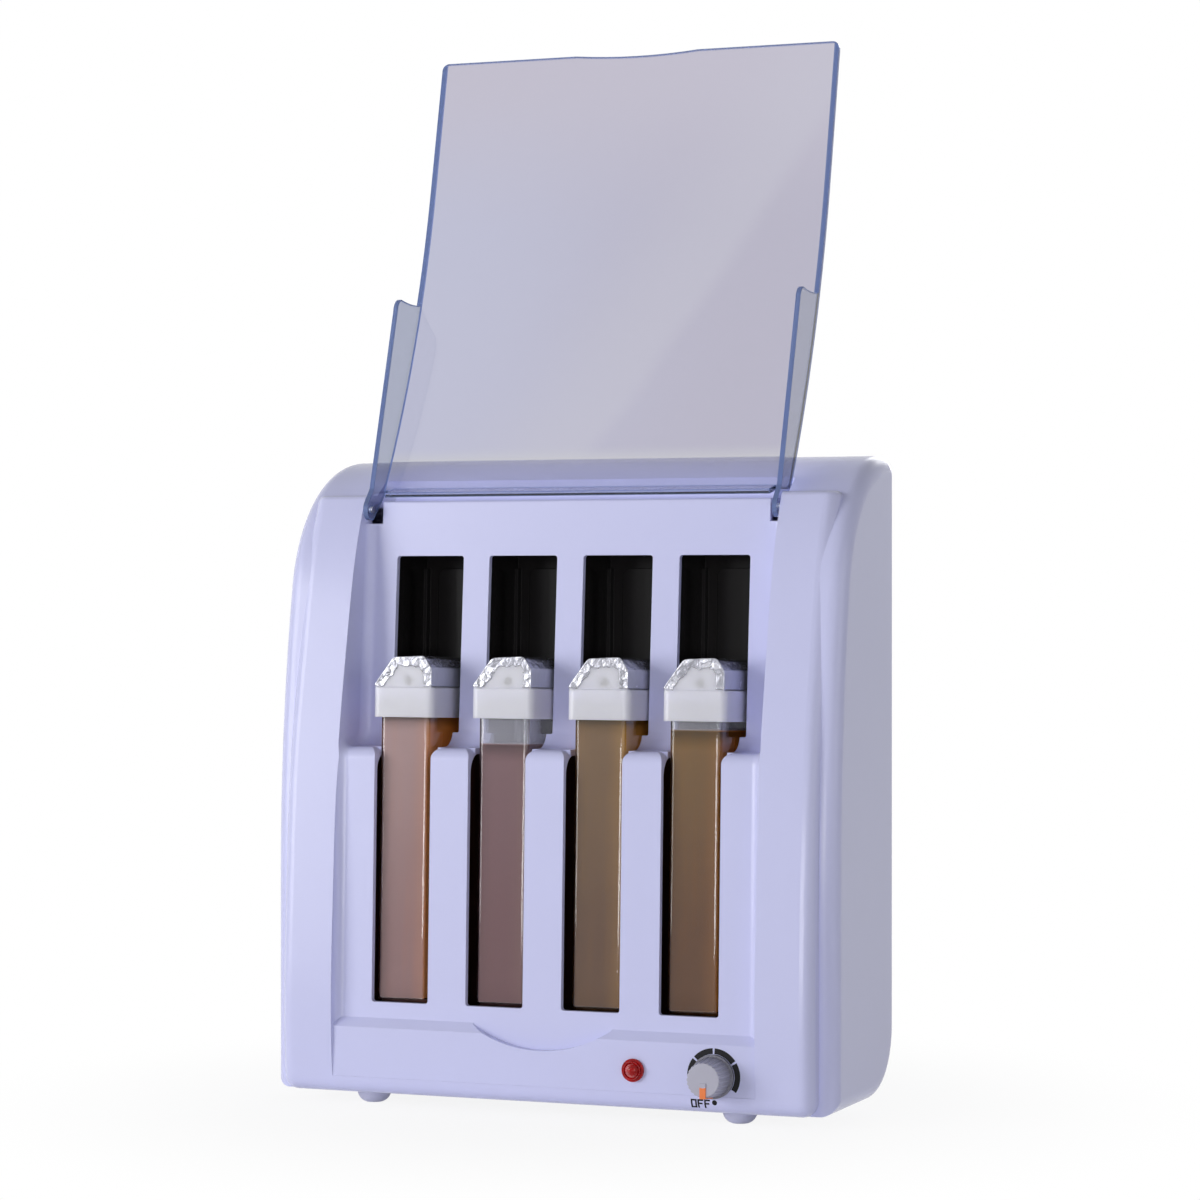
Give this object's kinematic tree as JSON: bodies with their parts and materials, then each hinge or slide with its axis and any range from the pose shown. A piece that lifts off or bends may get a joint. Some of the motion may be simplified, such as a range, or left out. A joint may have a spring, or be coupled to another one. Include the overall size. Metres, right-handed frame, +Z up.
{
  "type": "roll on wax heater",
  "caption": "Upright white heater that warms roll on depilatory wax cartridges in slots, with a clear hinged lid, a pilot lamp and a heat control knob.",
  "frame": {"origin": "centre of the footprint at the bottom of the feet", "axes": "+Z up, +X to the right seen from the front, -Y out of the front towards the user"},
  "size_m": [0.245, 0.1238, 0.4421],
  "materials": {
    "housing_plastic": "glossy moulded",
    "clear_lid_plastic": "clear, blue tinted",
    "screw_steel": "zinc plated",
    "foot_rubber": "soft matt",
    "pin_steel": "polished",
    "chamber_plastic": "glossy moulded black",
    "heater_silicone": "smooth silicone",
    "insulation_felt": "needled felt",
    "strap_steel": "galvanised",
    "fuse_body": "ceramic white",
    "terminal_nylon": "natural nylon",
    "wire_sleeve": "silicone sleeved",
    "inlet_plastic": "moulded black",
    "inlet_brass": "nickel washed",
    "thermostat_body": "phenolic",
    "nut_steel": "plated",
    "shaft_steel": "turned",
    "knob_plastic": "satin grey",
    "pointer_orange": "orange",
    "lamp_bezel": "translucent red",
    "lamp_red": "translucent red",
    "bulb_glass": "neon bulb",
    "bottle_clear": "clear moulded",
    "wax_amber_brown": "warm set wax, amber brown",
    "wax_mauve_brown": "set wax, mauve brown",
    "wax_olive_brown": "set wax, olive brown",
    "wax_gold": "set wax, golden olive",
    "head_plastic": "white moulded",
    "roller_plastic": "white turned",
    "foil": "thin crinkled foil"
  },
  "bodies": {
    "housing": {"front_shell": "housing_plastic", "rear_cover": "housing_plastic", "cover_screws": "screw_steel", "rubber_feet": "foot_rubber", "hinge_pins": "pin_steel", "insulation_mat": "insulation_felt", "chamber_strap_lower": "strap_steel", "chamber_strap_upper": "strap_steel", "strap_screws": "screw_steel", "thermal_fuse": "fuse_body", "terminal_block": "terminal_nylon", "wiring": "wire_sleeve", "power_inlet": "inlet_plastic", "inlet_pins": "inlet_brass", "thermostat": "thermostat_body", "thermostat_nut": "nut_steel", "lamp_housing": "lamp_bezel", "lamp_lens": "lamp_red", "lamp_bulb": "bulb_glass", "lamp_nut": "nut_steel", "chamber_1": "chamber_plastic", "heater_pad_1": "heater_silicone", "chamber_2": "chamber_plastic", "heater_pad_2": "heater_silicone", "chamber_3": "chamber_plastic", "heater_pad_3": "heater_silicone", "chamber_4": "chamber_plastic", "heater_pad_4": "heater_silicone"},
    "lid": {"lid": "clear_lid_plastic"},
    "knob": {"knob": "knob_plastic", "knob_pointer": "pointer_orange", "thermostat_shaft": "shaft_steel"},
    "cartridge_1": {"bottle_1": "bottle_clear", "wax_1": "wax_amber_brown", "head_1": "head_plastic", "foil_1": "foil"},
    "roller_1": {"roller_1": "roller_plastic"},
    "cartridge_2": {"bottle_2": "bottle_clear", "wax_2": "wax_mauve_brown", "head_2": "head_plastic", "foil_2": "foil"},
    "roller_2": {"roller_2": "roller_plastic"},
    "cartridge_3": {"bottle_3": "bottle_clear", "wax_3": "wax_olive_brown", "head_3": "head_plastic", "foil_3": "foil"},
    "roller_3": {"roller_3": "roller_plastic"},
    "cartridge_4": {"bottle_4": "bottle_clear", "wax_4": "wax_gold", "head_4": "head_plastic", "foil_4": "foil"},
    "roller_4": {"roller_4": "roller_plastic"}
  },
  "joints": [
    {"name": "lid_hinge", "type": "hinge", "parent": "housing", "child": "lid", "pos_m": [0, -0.01699, 0.24498], "axis": [-1, 0, 0], "range_deg": [-192.9, 0]},
    {"name": "knob_turn", "type": "hinge", "parent": "housing", "child": "knob", "pos_m": [0.0746, -0.06, 0.02], "axis": [0, 1, 0], "range_deg": [0, 300]},
    {"name": "cartridge_1_slide", "type": "slide", "parent": "housing", "child": "cartridge_1", "axis": [0, -0.9994, 0.0349], "range_m": [0, 0.068]},
    {"name": "roller_1_spin", "type": "hinge", "parent": "cartridge_1", "child": "roller_1", "pos_m": [-0.0623, -0.0371, 0.17432], "axis": [0, -0.9994, 0.0349], "continuous": true},
    {"name": "cartridge_2_slide", "type": "slide", "parent": "housing", "child": "cartridge_2", "axis": [0, -0.9994, 0.0349], "range_m": [0, 0.068]},
    {"name": "roller_2_spin", "type": "hinge", "parent": "cartridge_2", "child": "roller_2", "pos_m": [-0.0181, -0.0371, 0.17432], "axis": [0, -0.9994, 0.0349], "continuous": true},
    {"name": "cartridge_3_slide", "type": "slide", "parent": "housing", "child": "cartridge_3", "axis": [0, -0.9994, 0.0349], "range_m": [0, 0.068]},
    {"name": "roller_3_spin", "type": "hinge", "parent": "cartridge_3", "child": "roller_3", "pos_m": [0.024, -0.0371, 0.17432], "axis": [0, -0.9994, 0.0349], "continuous": true},
    {"name": "cartridge_4_slide", "type": "slide", "parent": "housing", "child": "cartridge_4", "axis": [0, -0.9994, 0.0349], "range_m": [0, 0.068]},
    {"name": "roller_4_spin", "type": "hinge", "parent": "cartridge_4", "child": "roller_4", "pos_m": [0.065, -0.0371, 0.17432], "axis": [0, -0.9994, 0.0349], "continuous": true}
  ]
}
